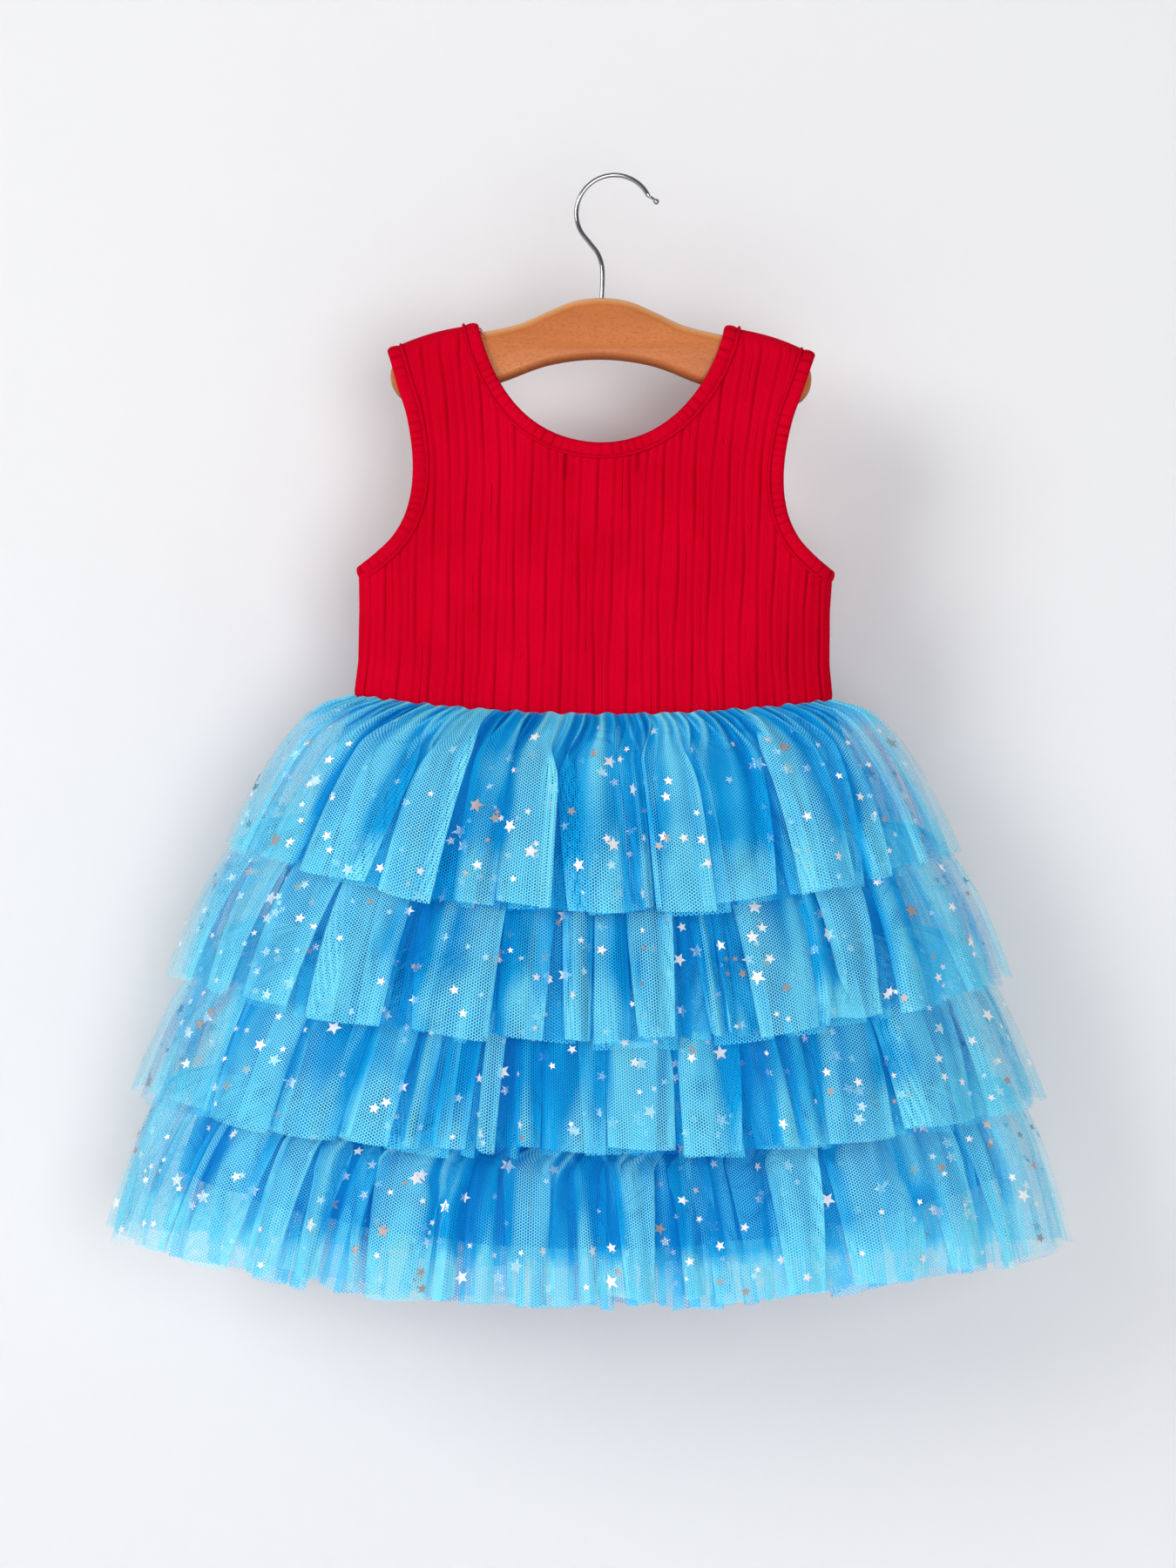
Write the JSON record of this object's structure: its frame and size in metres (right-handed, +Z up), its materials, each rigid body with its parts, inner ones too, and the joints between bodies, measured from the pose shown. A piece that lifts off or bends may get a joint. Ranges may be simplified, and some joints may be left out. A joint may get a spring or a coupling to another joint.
{
  "type": "tutu dress on a hanger",
  "caption": "Sleeveless child's dress with a rib-knit bodice and tiered tulle skirt, hanging from a wooden hanger with a wire hook.",
  "frame": {"origin": "the point inside the crown of the hook where a rod carries the hanger", "axes": "+Z up, against gravity; +X to the right of someone who looks at the dress's back; +Y from the dress's back to its front"},
  "size_m": [0.5658, 0.2068, 0.649],
  "materials": {
    "knit": "matte rib knit",
    "lining": "smooth satin weave",
    "tulle": "fine hexagonal net with small foil stars",
    "wood": "satin varnish",
    "steel": "polished"
  },
  "bodies": {
    "root": {"bodice_back": "knit", "bodice_front": "knit", "neck_binding": "knit", "armhole_binding_left": "knit", "armhole_binding_right": "knit", "skirt_lining": "lining", "tulle_tier_1": "tulle", "tulle_tier_2": "tulle", "tulle_tier_3": "tulle", "tulle_tier_4": "tulle", "hanger_wood": "wood", "hanger_hook": "steel"}
  },
  "joints": []
}
